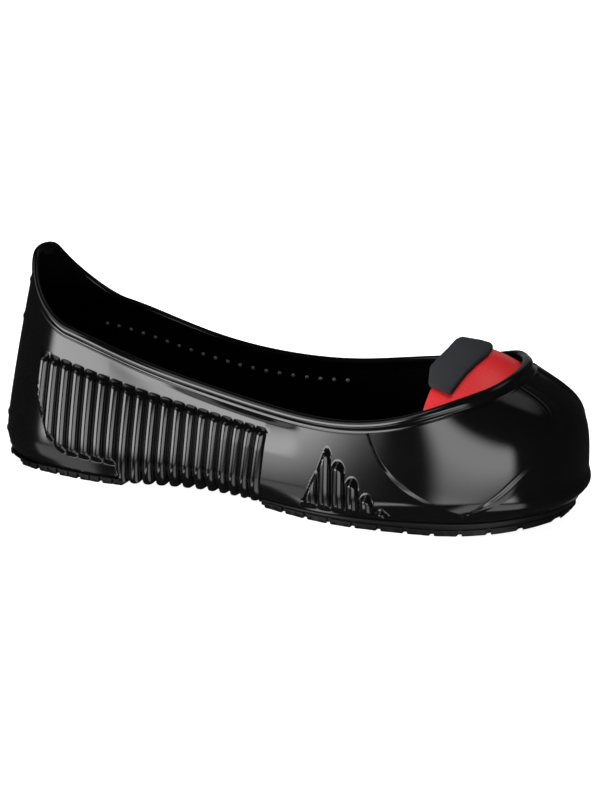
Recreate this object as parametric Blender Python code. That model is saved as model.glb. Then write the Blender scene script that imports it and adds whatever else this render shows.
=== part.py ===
"""An overshoe: a moulded rubber shell on a lugged sole, with a hard toe cap standing in the throat.

The tables are in millimetres, and a mesh is in metres. Stations run from the back of the heel (0) to the tip
of the toe. The inner side of the foot is -Y and the outer side is +Y. A distance round is measured along the
shell's widest outline, from the back of the heel along the inner side to the toe and back along the outer side.
"""

from collections import namedtuple
import math

import bmesh
import bpy
import numpy as np

MM = 0.001
LENGTH = 293.0
WALL = 2.4
GAP = 0.3

# The shell's sections, from the back of the heel to the tip of the toe. Each has the widest outline, the collar
# line without the heel tab, the foot of the wall, how late the wall leans in, and how far its foot turns under. On
# the outer side the collar lies further back and higher by the last two values.
Section = namedtuple(
    "Section",
    "station inner outer collar_station collar_inner collar_outer collar_height foot lean tuck outer_back outer_rise",
)
SECTIONS = (
    Section(0.0, 0.0, 0.0, 13.6, 0.0, 0.0, 78.3, 3.1, 1.20, 3.0, 0.0, 0.0),
    Section(5.0, 18.5, 18.5, 17.3, 13.5, 13.5, 77.6, 3.1, 1.20, 2.6, 0.0, 0.0),
    Section(19.5, 31.5, 31.5, 28.5, 23.5, 23.5, 75.6, 3.1, 1.30, 1.6, 0.0, 0.0),
    Section(44.0, 37.5, 37.5, 48.0, 29.5, 29.5, 71.8, 3.1, 1.40, 0.4, 0.0, -0.4),
    Section(82.0, 38.5, 39.0, 82.0, 30.5, 30.5, 61.4, 3.1, 1.60, 0.3, 0.0, 0.6),
    Section(120.0, 37.0, 39.5, 118.0, 33.0, 33.0, 54.0, 3.6, 1.70, 5.0, 0.0, 0.2),
    Section(159.0, 43.0, 47.0, 158.0, 40.5, 45.5, 50.0, 4.6, 1.70, 2.6, 0.0, -0.4),
    Section(194.0, 48.0, 53.0, 194.0, 47.0, 55.0, 49.7, 5.4, 1.70, 1.2, 0.0, 2.6),
    Section(227.0, 48.5, 52.0, 224.0, 48.5, 54.0, 55.4, 6.2, 1.90, 4.6, 0.0, 2.0),
    Section(258.0, 43.0, 43.5, 248.0, 42.5, 41.5, 64.5, 8.1, 3.70, 5.6, 1.5, 0.5),
    Section(279.0, 32.0, 31.5, 261.0, 29.5, 28.5, 69.0, 10.4, 5.00, 5.4, 6.5, -1.4),
    Section(290.0, 17.5, 17.0, 264.6, 15.5, 14.5, 70.8, 11.9, 5.40, 3.8, 4.0, -0.4),
    Section(293.0, 0.0, 0.0, 264.4, 0.0, 0.0, 71.2, 12.3, 5.40, 2.8, 0.0, 0.0),
)
TUCK_HEIGHT = 11.0

# How far the heel's sides lean in towards the sole, up to a height, and where that comes in and goes out
HEEL_TUCK = 2.5
HEEL_TUCK_HEIGHT = 35.0
HEEL_TUCK_IN = (10.0, 35.0)
HEEL_TUCK_OUT = (105.0, 150.0)

# The heel tab, by distance from the back of the heel
TAB_RISE = 24.4
TAB_HALF = 16.0
TAB_CORNER = 5.0
TAB_FLANK = 48.0
TAB_POWER = 1.6

# The bead round the collar. At the throat it becomes a thicker lip that stands upright on the toe.
BEAD_DROP = 4.6
BEAD_RISE = 1.5
BEAD_CROWN = 0.9
BEAD_OUT = 1.1
SHOULDER_SHARE = 0.6
LIP_OUT = 1.3
LIP_IN = 1.4
LIP_RISE = 4.5
LIP_FOOT = 0.03
LIP_START = 235.0

# The upright ribs of each side, by distance from the back of the heel. The floor is the line that their lower
# ends follow: down round the smooth heel, along it, and then under the arch.
RIB_COUNT = 19
RIB_FIRST = 51.6
RIB_PITCH = 7.40
RIB_EASE = 0.032
RIB_HEIGHT = 2.0
RIB_END = 2.6
LEAST_RIB = 1.5
RIB_SHOULDER = 0.28
RIB_CROWN_POWER = 3.0
RIB_TOP_SHARE = 0.78
RIB_FLOOR_AT = (47.5, 50.6, 53.3, 59.0, 64.5, 70.0, 97.5, 100.5)
RIB_FLOOR = (57.0, 41.5, 29.8, 17.7, 12.5, 10.3, 9.0, 4.4)
RIB_ARCH = 1.0
RIB_LEAN = 0.16
RIB_LEAN_AT = (60.0, 175.0, 200.0)
RIB_LEAN_LEVEL = 38.0
INNER_RELIEF = 0.8

# The triangle of short ribs behind the ball
TRIANGLE_COUNT = 6
TRIANGLE_FIRST = 202.85
TRIANGLE_PITCH = 7.05
TRIANGLE_APEX = (209.8, 37.3)
TRIANGLE_REAR_SLOPE = 3.27
TRIANGLE_FRONT_SLOPE = 0.95
TRIANGLE_FOOT = 1.2

# The low bumper round the toe
BUMPER_OUT = 1.8
BUMPER_START = 268.0
BUMPER_HEIGHT = 6.0

# The raised toe panel of each side, from its lower point up to the collar: the distance from the heel and the
# share of the wall's height, along its rear and its front edge
PanelRow = namedtuple("PanelRow", "rear rear_share front front_share")
PANEL = (
    PanelRow(273.0, 0.088, 275.5, 0.088),
    PanelRow(263.7, 0.134, 283.0, 0.155),
    PanelRow(250.4, 0.270, 291.0, 0.245),
    PanelRow(244.0, 0.370, 299.0, 0.360),
    PanelRow(238.0, 0.500, 308.0, 0.480),
    PanelRow(233.6, 0.620, 316.0, 0.630),
    PanelRow(230.5, 0.760, 320.5, 0.780),
    PanelRow(229.2, 0.840, 320.0, 0.845),
)
PANEL_OUT = 0.9
PANEL_ROOT = 1.6
PANEL_COLUMNS = 9

# The sole
LUG = 2.8
BOND = 0.4
CORE_TOP = 7.0
ARCH_LIFT = 3.5
SPRING = 7.0
SPRING_START = 230.0
SPRING_POWER = 1.8
HEEL_PAD_END = 99.0
FOREFOOT_PLATE_START = 165.0
FOREFOOT_PAD_START = 170.0
PAD_INSET = 0.1
GROOVE = 2.0
GROOVE_FIRST = 9.4
GROOVE_PITCH = 12.0
GROOVE_ROOF = 2.0
CHANNEL = 3.0
Channel = namedtuple("Channel", "start end half")
CHANNELS = (Channel(5.0, 74.0, 20.0), Channel(150.0, 242.0, 26.0))
SLAB_STEP = 8.0
END_MARGIN = 3.0

INSOLE_THICK = 2.0
INSOLE_INSET = 0.75

# The toe cap: a dome, open behind and below, with its peak a little off the middle
CAP_REAR = 231.0
CAP_LENGTH = 55.5
CAP_HALF = 42.2
CAP_MIDDLE = 0.7
CAP_TOP = 75.5
CAP_PEAK = 4.0
CAP_DOME = 0.043
CAP_DOME_POWER = 1.6
CAP_PLAN_POWER = 0.64
CAP_SIDE_POWER = 12.0
CAP_FALL_POWER = 1.9
CAP_THICK = 2.0
CAP_TURNS = 25
CAP_STEPS = 9

# The guard that hooks over the cap's rear edge: its rear and front edge by share of the cap's half width
GuardRow = namedtuple("GuardRow", "across back front")
GUARD = (
    GuardRow(0.00, 229.2, 246.4),
    GuardRow(0.14, 229.0, 245.6),
    GuardRow(0.28, 228.0, 244.5),
    GuardRow(0.45, 226.4, 243.1),
    GuardRow(0.56, 227.8, 242.3),
    GuardRow(0.66, 229.0, 241.5),
)
GUARD_THICK = 2.3

# Where the upper's mesh has columns away from the ribs, by distance from the back of the heel
HEEL_COLUMNS = (0.0, 7.0, 12.0, 17.0, 23.0, 30.0, 37.0, 43.0)
WAIST_COLUMNS = (184.0, 192.0)
TOE_COLUMNS = (250.0, 258.0, 266.0, 274.0, 282.0, 290.0, 298.0, 306.0, 314.0, 322.0, 330.0)

COLOURS = {
    "upper": ((0.012, 0.012, 0.013), 0.16),
    "outsole": ((0.014, 0.014, 0.015), 0.40),
    "insole": ((0.016, 0.016, 0.017), 0.70),
    "toe_cap": ((0.62, 0.02, 0.025), 0.25),
    "toe_cap_guard": ((0.030, 0.031, 0.034), 0.75),
}


def closed_spline(knots, values):
    """A smooth closed curve through rows of values. The knots have one entry more, where the curve closes."""
    count = len(values)
    step = np.diff(knots)
    matrix = np.zeros((count, count))
    right = np.zeros(values.shape)
    for i in range(count):
        after = (i + 1) % count
        matrix[i, i - 1] += step[i - 1]
        matrix[i, i] += 2 * (step[i - 1] + step[i])
        matrix[i, after] += step[i]
        right[i] = 6 * ((values[after] - values[i]) / step[i] - (values[i] - values[i - 1]) / step[i - 1])
    bend = np.linalg.solve(matrix, right)

    def at(distance):
        distance = np.mod(distance, knots[-1])
        i = np.clip(np.searchsorted(knots, distance, side="right") - 1, 0, count - 1)
        j = (i + 1) % count
        width = step[i][..., None]
        left = (knots[i + 1] - distance)[..., None]
        gone = (distance - knots[i])[..., None]
        cubic = (bend[i] * left**3 + bend[j] * gone**3) / (6 * width)
        straight = (values[i] / width - bend[i] * width / 6) * left
        return cubic + straight + (values[j] / width - bend[j] * width / 6) * gone

    return at


def section_rows():
    """The sections as rows round the shoe: the inner side out to the toe, then the outer side back."""
    rows = []
    for side, sections in ((-1, SECTIONS), (1, SECTIONS[-2:0:-1])):
        for s in sections:
            if side < 0:
                half, collar_half, collar_at, high = s.inner, s.collar_inner, s.collar_station, s.collar_height
            else:
                half, collar_half = s.outer, s.collar_outer
                collar_at, high = s.collar_station - s.outer_back, s.collar_height + s.outer_rise
            plan = (s.station - LENGTH / 2, side * half, collar_at - LENGTH / 2, side * collar_half)
            rows.append(plan + (high, s.foot, s.lean, s.tuck))
    return np.array(rows)


ROWS = section_rows()
KNOTS = np.concatenate([[0], np.cumsum(np.linalg.norm(np.roll(ROWS[:, :2], -1, axis=0) - ROWS[:, :2], axis=1))])
ROUND = KNOTS[-1]
TOE = KNOTS[len(SECTIONS) - 1]
column = closed_spline(KNOTS, ROWS)


def smooth(share):
    share = np.clip(share, 0, 1)
    return share * share * (3 - 2 * share)


def from_heel(distance):
    """How far a place is from the back of the heel along its own side, as if the toe were as far on both."""
    distance = np.mod(distance, ROUND)
    return np.where(distance <= TOE, distance, (ROUND - distance) * TOE / (ROUND - TOE))


def round_from(side, far):
    """The distance round of a place on the inner (-1) or the outer (1) side."""
    far = np.asarray(far, float)
    return far if side < 0 else ROUND - far * (ROUND - TOE) / TOE


def foot_height(distance):
    return column(np.asarray(distance, float))[..., 5]


def collar_line(distance):
    """The collar's height without the tab."""
    return column(np.asarray(distance, float))[..., 4]


def collar_height(distance):
    beyond = from_heel(distance) - TAB_HALF
    past = 0.5 * (beyond + np.sqrt(beyond**2 + TAB_CORNER**2))
    return collar_line(distance) + TAB_RISE * np.clip(1 - past / TAB_FLANK, 0, 1) ** TAB_POWER


def lip_share(distance):
    """How much of the throat's standing lip a place has: 0 behind it, 1 at the toe."""
    return smooth((from_heel(distance) - LIP_START) / (TOE - LIP_START))


def heel_tuck(distance):
    """How far the foot of the heel's side leans in."""
    far = from_heel(distance)
    start, full = HEEL_TUCK_IN
    fade, end = HEEL_TUCK_OUT
    return HEEL_TUCK * smooth((far - start) / (full - start)) * smooth((end - far) / (end - fade))


def outward(distance):
    """The plan direction that points out of the shoe."""
    step = (column(distance + 0.05) - column(distance - 0.05))[..., :2]
    step = step / np.linalg.norm(step, axis=-1, keepdims=True)
    return np.stack([step[..., 1], -step[..., 0]], -1)


def wall(distance, height):
    """A point of the shell's outer face, with no relief on it."""
    distance, height = np.broadcast_arrays(np.asarray(distance, float), np.asarray(height, float))
    at = column(distance)
    above = height - at[..., 5]
    lip = lip_share(distance)
    lean = np.clip(above / (at[..., 4] - at[..., 5] - LIP_RISE * lip), 0, None)
    upright = (lean + 1 - np.sqrt((lean - 1) ** 2 + LIP_FOOT**2)) / 2
    lean = np.clip(lean + (upright - lean) * smooth(4 * lip), 0, None) ** at[..., 6]
    tuck = at[..., 7] * np.clip(1 - above / TUCK_HEIGHT, 0, 1) ** 2
    tuck = tuck + heel_tuck(distance) * np.clip(1 - above / HEEL_TUCK_HEIGHT, 0, 1) ** 2
    plan = at[..., :2] + (at[..., 2:4] - at[..., :2]) * lean[..., None] - outward(distance) * tuck[..., None]
    return np.concatenate([plan, height[..., None]], -1)


def wall_normal(distance, height):
    along = wall(distance + 0.3, height) - wall(distance - 0.3, height)
    up = wall(distance, height + 0.3) - wall(distance, height - 0.3)
    normal = np.cross(along, up)
    return normal / np.linalg.norm(normal, axis=-1, keepdims=True)


def rib_edges():
    """The grooves beside the upright ribs, by distance from the heel."""
    index = np.arange(RIB_COUNT + 1) - 0.5
    return RIB_FIRST + index * (RIB_PITCH - RIB_EASE * index)


def triangle_edges():
    return TRIANGLE_FIRST + (np.arange(TRIANGLE_COUNT + 1) - 0.5) * TRIANGLE_PITCH


RIB_EDGES = rib_edges()
TRIANGLE_EDGES = triangle_edges()


def ridge(far, edges):
    """How far up a rib a place lies: 0 in the grooves and away from the ribs, 1 along a crest."""
    i = np.clip(np.searchsorted(edges, far, side="right") - 1, 0, len(edges) - 2)
    across = 2 * (far - edges[i]) / (edges[i + 1] - edges[i]) - 1
    return np.clip(1 - np.abs(across) ** RIB_CROWN_POWER, 0, 1)


def rib_span(distance):
    """The heights where the ribs start and end. Elsewhere they only guide the mesh."""
    far = from_heel(distance)
    foot = foot_height(distance)
    low = np.interp(far, RIB_FLOOR_AT, RIB_FLOOR)
    low = np.where(far > RIB_FLOOR_AT[-1], foot + RIB_ARCH, low)
    high = RIB_TOP_SHARE * collar_line(distance)
    apex_at, apex = TRIANGLE_APEX
    behind = apex + (far - apex_at) * TRIANGLE_REAR_SLOPE
    ahead = apex - (far - apex_at) * TRIANGLE_FRONT_SLOPE
    in_triangle = (far > TRIANGLE_EDGES[0] - 0.1) & (far < TRIANGLE_EDGES[-1] + 0.1)
    away = (far < RIB_EDGES[0] - 0.1) | (far > RIB_EDGES[-1] + 0.1)
    low = np.where(away, foot + BUMPER_HEIGHT, low)
    low = np.where(in_triangle, foot + TRIANGLE_FOOT, low)
    high = np.where(in_triangle, np.maximum(np.minimum(behind, ahead), low + LEAST_RIB), high)
    return np.minimum(low, high - LEAST_RIB), high


def rib_relief(distance, height):
    far = from_heel(distance)
    low, high = rib_span(distance)
    end = np.minimum(RIB_END, 0.3 * (high - low))
    along = smooth((height - low) / end) * smooth((high - height) / end)
    crest = np.maximum(ridge(far, RIB_EDGES), ridge(far, TRIANGLE_EDGES))
    return RIB_HEIGHT * crest * along


def bead_out(distance):
    """How far the collar's bead stands out of the wall."""
    return BEAD_OUT + (LIP_OUT - BEAD_OUT) * lip_share(distance)


def bead_in(distance):
    """How deep the bead lies behind the wall's face: deeper at the throat's lip."""
    return WALL + LIP_IN * lip_share(distance)


def bead_relief(distance, height):
    drop = collar_height(distance) - height
    return bead_out(distance) * smooth((BEAD_DROP - drop) / BEAD_RISE)


def bumper_relief(distance, height):
    low, high = rib_span(distance)
    up = 1 - np.abs(height - low) / BUMPER_HEIGHT
    return BUMPER_OUT * smooth((from_heel(distance) - BUMPER_START) / (TOE - BUMPER_START)) * smooth(up)


def leaned(distance, height):
    """The distance round at a height on a column: the ribs near the waist lean forward as they rise."""
    forward = np.where(np.mod(distance, ROUND) <= TOE, RIB_LEAN, -RIB_LEAN)
    share = np.interp(from_heel(distance), RIB_LEAN_AT, (0, 1, 0))
    return distance + forward * share * (height - RIB_LEAN_LEVEL)


def shell_point(distance, height, off):
    at = leaned(distance, height)
    return wall(at, height) + wall_normal(at, height) * np.asarray(off)[..., None]


def shell_columns():
    """The distances round of the upper's columns: at each rib its groove and its two shoulders."""
    far = list(HEEL_COLUMNS)
    for edges in (RIB_EDGES, TRIANGLE_EDGES):
        for start, end in zip(edges, edges[1:]):
            middle, width = (start + end) / 2, end - start
            far += [start, middle - RIB_SHOULDER * width, middle + RIB_SHOULDER * width]
        far.append(edges[-1])
        if edges is RIB_EDGES:
            far += WAIST_COLUMNS
    far += TOE_COLUMNS
    inner = round_from(-1, far)
    outer = round_from(1, far[:0:-1])
    return np.concatenate([inner, [TOE], outer])


def upper_sections():
    """A closed section of the shell at each column: up the outer face, over the bead and down the inner face."""
    at = shell_columns()
    foot = foot_height(at)
    collar = collar_height(at)
    low, high = rib_span(at)
    end = np.minimum(RIB_END, 0.3 * (high - low))
    middle = (low + high) / 2
    breast = (middle + high - end) / 2
    shoulder = high + SHOULDER_SHARE * (collar - BEAD_DROP - high)
    up = (foot + np.minimum(TUCK_HEIGHT, low - foot) / 2, low, low + end, middle, breast, high - end, high, shoulder)
    bead = (collar - BEAD_DROP, collar - BEAD_DROP + BEAD_RISE, collar - BEAD_CROWN)
    rings = [shell_foot(at, 0.0)]
    for height in up + bead:
        off = rib_relief(at, height) + bead_relief(at, height) + bumper_relief(at, height)
        rings.append(shell_point(at, height, off))
    rings.append(shell_point(at, collar, (bead_out(at) - bead_in(at)) / 2))
    rings.append(shell_point(at, collar - BEAD_CROWN, -bead_in(at)))
    for height in (collar - BEAD_DROP, shoulder, high, high - end, breast, middle, low + end):
        rings.append(shell_point(at, height, INNER_RELIEF * rib_relief(at, height) - WALL))
    rings.append(shell_foot(at, WALL))
    return np.stack(rings, 1)


def shell_foot(distance, inset):
    """The bottom edge of the wall, moved in by a plan distance."""
    at = leaned(distance, foot_height(distance))
    point = wall(at, foot_height(distance))
    point[..., :2] -= outward(at) * inset
    return point


def panel_sections(side):
    """The toe panel of a side, from its lower point to the collar, as closed sections through the wall."""
    shares = np.linspace(0, 1, PANEL_COLUMNS)
    sections = []
    for row in PANEL:
        at = round_from(side, row.rear + (row.front - row.rear) * shares)
        share = row.rear_share + (row.front_share - row.rear_share) * shares
        height = foot_height(at) + share * (collar_height(at) - foot_height(at))
        outer = wall(at, height) + wall_normal(at, height) * PANEL_OUT
        inner = wall(at, height) - wall_normal(at, height) * PANEL_ROOT
        sections.append(np.concatenate([outer, inner[::-1]]))
    return np.array(sections)


def spring(x):
    """How far the toe spring lifts the sole at a place along the foot."""
    station = np.asarray(x) + LENGTH / 2
    return SPRING * np.clip((station - SPRING_START) / (LENGTH - SPRING_START), 0, 1) ** SPRING_POWER


def arch(far):
    return (ARCH_LIFT + BOND - LUG) * smooth((far - HEEL_PAD_END - 2) / 12) * smooth((FOREFOOT_PLATE_START - far) / 12)


def plan_loop(far, inset):
    """The foot of the wall as a loop, moved in: the inner side forwards, then the outer side back."""
    at = np.concatenate([round_from(-1, far), round_from(1, far[::-1])])
    point = wall(at, foot_height(at))[:, :2] - outward(at) * inset
    return at, point


def slab_loops(far, inset, low, high):
    """Two loops for a slab, with heights from functions of the distance from the heel and the wall's foot."""
    at, plan = plan_loop(np.asarray(far, float), inset)
    lift = spring(plan[:, 0])
    loops = []
    for height in (low, high):
        level = height(from_heel(at), foot_height(at), lift)
        loops.append(np.column_stack([plan, level]))
    return loops


def spaced(start, end, step):
    return np.linspace(start, end, max(2, round((end - start) / step) + 1))


def new_object(name, points, faces, collection):
    mesh = bpy.data.meshes.new(name)
    mesh.from_pydata((np.asarray(points) * MM).tolist(), [], faces)
    tidy = bmesh.new()
    tidy.from_mesh(mesh)
    bmesh.ops.remove_doubles(tidy, verts=tidy.verts, dist=0.01 * MM)
    bmesh.ops.recalc_face_normals(tidy, faces=tidy.faces)
    tidy.to_mesh(mesh)
    tidy.free()
    obj = bpy.data.objects.new(name, mesh)
    collection.objects.link(obj)
    if collection is CUTTERS:
        obj.hide_render = True
        obj.display_type = "WIRE"
    else:
        mesh.materials.append(material(name, *COLOURS[name]))
    return obj


def material(name, colour, roughness):
    made = bpy.data.materials.new(name)
    made.use_nodes = True
    shader = made.node_tree.nodes["Principled BSDF"]
    shader.inputs["Base Color"].default_value = (*colour, 1)
    shader.inputs["Roughness"].default_value = roughness
    return made


def loft(sections, round_trip):
    """Points and faces through closed sections: joined end to end, or with the two ends capped."""
    count, size = sections.shape[:2]
    faces = []
    for i in range(count if round_trip else count - 1):
        this, following = i * size, (i + 1) % count * size
        for j in range(size):
            k = (j + 1) % size
            faces.append((this + j, following + j, following + k, this + k))
    if not round_trip:
        for first in (0, (count - 1) * size):
            for j in range(size // 2 - 1):
                back = first + size - 1 - j
                faces.append((first + j, first + j + 1, back - 1, back))
    return sections.reshape(-1, 3), faces


def slab(low, high):
    """Points and faces of a slab between two loops whose points pair up across the foot."""
    count = len(low)
    faces = []
    for i in range(count):
        j = (i + 1) % count
        faces.append((i, j, count + j, count + i))
    for i in range(count // 2 - 1):
        across = count - 1 - i
        faces.append((i, across, across - 1, i + 1))
        faces.append((count + i, count + i + 1, count + across - 1, count + across))
    return np.concatenate([low, high]), faces


def boolean(obj, other, operation):
    modifier = obj.modifiers.new(other.name, "BOOLEAN")
    modifier.object = other
    modifier.operation = operation
    modifier.solver = "EXACT"


def make_upper():
    upper = new_object("upper", *loft(upper_sections(), True), PARTS)
    for side, name in ((-1, "inner_panel"), (1, "outer_panel")):
        panel = new_object(name, *loft(panel_sections(side), False), CUTTERS)
        boolean(upper, panel, "UNION")


def make_outsole():
    core_far = spaced(END_MARGIN, TOE - END_MARGIN, SLAB_STEP)
    core = slab_loops(
        core_far,
        WALL + 2 * GAP,
        lambda far, foot, lift: LUG - BOND + arch(far) + lift,
        lambda far, foot, lift: CORE_TOP + lift,
    )
    outsole = new_object("outsole", *slab(*core), PARTS)
    plate = slab_loops(
        spaced(FOREFOOT_PLATE_START, TOE - END_MARGIN, SLAB_STEP),
        0.0,
        lambda far, foot, lift: LUG + lift,
        lambda far, foot, lift: foot - GAP,
    )
    boolean(outsole, new_object("forefoot_plate", *slab(*plate), CUTTERS), "UNION")
    grooves = new_object("grooves", *boxes(groove_boxes()), CUTTERS)
    channels = new_object("channels", *boxes(channel_boxes()), CUTTERS)
    pads = (("heel_pad", END_MARGIN, HEEL_PAD_END), ("forefoot_pad", FOREFOOT_PAD_START, TOE - END_MARGIN))
    for name, start, end in pads:
        loops = slab_loops(
            spaced(start, end, SLAB_STEP),
            PAD_INSET,
            lambda far, foot, lift: lift,
            lambda far, foot, lift: np.minimum(LUG + BOND + lift, foot - GAP),
        )
        pad = new_object(name, *slab(*loops), CUTTERS)
        boolean(pad, grooves, "DIFFERENCE")
        boolean(pad, channels, "DIFFERENCE")
        boolean(outsole, pad, "UNION")


def groove_boxes():
    """The cuts across the pads, as low and high corners."""
    stations = np.arange(GROOVE_FIRST, LENGTH - GROOVE_PITCH, GROOVE_PITCH)
    cuts = []
    for station in stations:
        x = station - LENGTH / 2
        roof = spring(x) + GROOVE_ROOF
        cuts.append(((x - GROOVE / 2, -LENGTH, -LENGTH), (x + GROOVE / 2, LENGTH, roof)))
    return cuts


def channel_boxes():
    """The two lengthwise cuts of each pad."""
    cuts = []
    for channel in CHANNELS:
        for side in (-1, 1):
            low = (channel.start - LENGTH / 2, side * channel.half - CHANNEL / 2, -LENGTH)
            high = (channel.end - LENGTH / 2, side * channel.half + CHANNEL / 2, GROOVE_ROOF)
            cuts.append((low, high))
    return cuts


def boxes(corners):
    """Points and faces of boxes that stand apart."""
    made = bmesh.new()
    for low, high in corners:
        low, high = np.array(low), np.array(high)
        cube = bmesh.ops.create_cube(made, size=1)
        bmesh.ops.scale(made, vec=high - low, verts=cube["verts"])
        bmesh.ops.translate(made, vec=(low + high) / 2, verts=cube["verts"])
    made.verts.index_update()
    points = [tuple(v.co) for v in made.verts]
    faces = [tuple(v.index for v in f.verts) for f in made.faces]
    made.free()
    return points, faces


def make_insole():
    far = spaced(END_MARGIN, TOE - END_MARGIN, SLAB_STEP)
    loops = slab_loops(
        far,
        WALL + INSOLE_INSET,
        lambda far, foot, lift: CORE_TOP + GAP + lift,
        lambda far, foot, lift: CORE_TOP + GAP + INSOLE_THICK + lift,
    )
    new_object("insole", *slab(*loops), PARTS)


def cap_point(station, across, inset):
    """A point of the toe cap at a station and a share of its half width (-1 to 1), moved in by a distance."""
    ahead = np.clip((station - CAP_REAR) / (CAP_LENGTH - inset), 0, 1)
    x = station - LENGTH / 2
    foot = CORE_TOP + 2 * GAP + INSOLE_THICK + spring(x)
    half = (CAP_HALF - inset) * (1 - ahead**2) ** CAP_PLAN_POWER
    y = CAP_MIDDLE + half * across
    fall = (1 - ahead**CAP_FALL_POWER) ** (1 / CAP_FALL_POWER)
    top = CAP_TOP - inset - foot - CAP_DOME * np.abs(y - CAP_PEAK) ** CAP_DOME_POWER
    side = (1 - np.abs(across) ** CAP_SIDE_POWER) ** (1 / CAP_SIDE_POWER)
    return np.array([x, y, foot + top * fall * side])


def make_toe_cap():
    shares = np.sin(np.linspace(-math.pi / 2, math.pi / 2, CAP_TURNS))
    sections = []
    for ahead in np.sin(np.linspace(0, math.pi / 2, CAP_STEPS)):
        outer = [cap_point(CAP_REAR + ahead * CAP_LENGTH, share, 0.0) for share in shares]
        inner_station = CAP_REAR + ahead * (CAP_LENGTH - CAP_THICK)
        inner = [cap_point(inner_station, share, CAP_THICK) for share in shares[::-1]]
        sections.append(outer + inner)
    new_object("toe_cap", *loft(np.array(sections), False), PARTS)


def make_guard():
    """The guard: its section hooks over the cap's rear edge and lies along the cap's face."""
    outer = GAP + GUARD_THICK
    inner = -CAP_THICK - GAP
    behind = CAP_REAR - GAP
    rows = [GuardRow(-row.across, row.back, row.front) for row in GUARD[:0:-1]] + list(GUARD)
    sections = []
    for row in rows:
        middle = (behind + row.front) / 2
        section = (
            (row.back, inner), (row.back, outer), (middle, outer), (row.front, outer),
            (row.front, GAP), (middle, GAP), (behind, GAP), (behind, inner),
        )
        sections.append([cap_point(station, row.across, -off) for station, off in section])
    new_object("toe_cap_guard", *loft(np.array(sections), False), PARTS)


def centre_on_floor():
    """Moves the whole object so that its box stands on the floor, centred."""
    bpy.context.view_layer.update()
    graph = bpy.context.evaluated_depsgraph_get()
    points = []
    for obj in PARTS.objects:
        mesh = obj.evaluated_get(graph).to_mesh()
        points += [tuple(vertex.co) for vertex in mesh.vertices]
    low, high = np.min(points, axis=0), np.max(points, axis=0)
    middle = (low + high) / 2
    stand = bpy.data.objects.new("stand", None)
    stand.location = (-middle[0], -middle[1], -low[2])
    bpy.context.scene.collection.objects.link(stand)
    for obj in list(PARTS.objects) + list(CUTTERS.objects):
        obj.parent = stand


for old in list(bpy.data.objects):
    bpy.data.objects.remove(old)
PARTS = bpy.data.collections.new("overshoe")
CUTTERS = bpy.data.collections.new("cutters")
for kept in (PARTS, CUTTERS):
    bpy.context.scene.collection.children.link(kept)
make_upper()
make_outsole()
make_insole()
make_toe_cap()
make_guard()
centre_on_floor()
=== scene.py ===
"""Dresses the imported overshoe: the fine rubber shell, the toe panels, the tread, the cap and its guard.

The tables are in millimetres, and a mesh is in metres. Stations run from the back of the heel (0) to the tip
of the toe. The inner side of the foot is -Y and the outer side is +Y. A distance round is measured along the
shell's widest outline, from the back of the heel along the inner side to the toe and back along the outer
side.
"""

from collections import namedtuple
import math

import bpy
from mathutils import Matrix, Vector
import numpy as np


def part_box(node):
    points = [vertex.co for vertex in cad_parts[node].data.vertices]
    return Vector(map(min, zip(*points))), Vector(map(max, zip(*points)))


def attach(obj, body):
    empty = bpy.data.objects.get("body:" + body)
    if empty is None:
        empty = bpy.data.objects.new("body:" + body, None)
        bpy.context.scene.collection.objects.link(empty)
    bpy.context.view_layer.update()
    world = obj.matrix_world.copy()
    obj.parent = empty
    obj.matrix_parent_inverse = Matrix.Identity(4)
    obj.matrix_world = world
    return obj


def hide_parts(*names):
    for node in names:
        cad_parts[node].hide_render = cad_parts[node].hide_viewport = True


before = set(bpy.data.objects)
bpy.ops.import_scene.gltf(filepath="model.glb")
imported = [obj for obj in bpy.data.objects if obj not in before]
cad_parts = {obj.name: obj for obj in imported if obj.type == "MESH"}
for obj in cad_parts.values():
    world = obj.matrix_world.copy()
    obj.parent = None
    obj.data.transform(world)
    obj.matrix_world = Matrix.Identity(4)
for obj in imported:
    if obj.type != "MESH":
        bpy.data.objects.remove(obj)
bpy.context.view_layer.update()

MM = 0.001
LENGTH = 293.0
WALL = 2.4
GAP = 0.3

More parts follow.
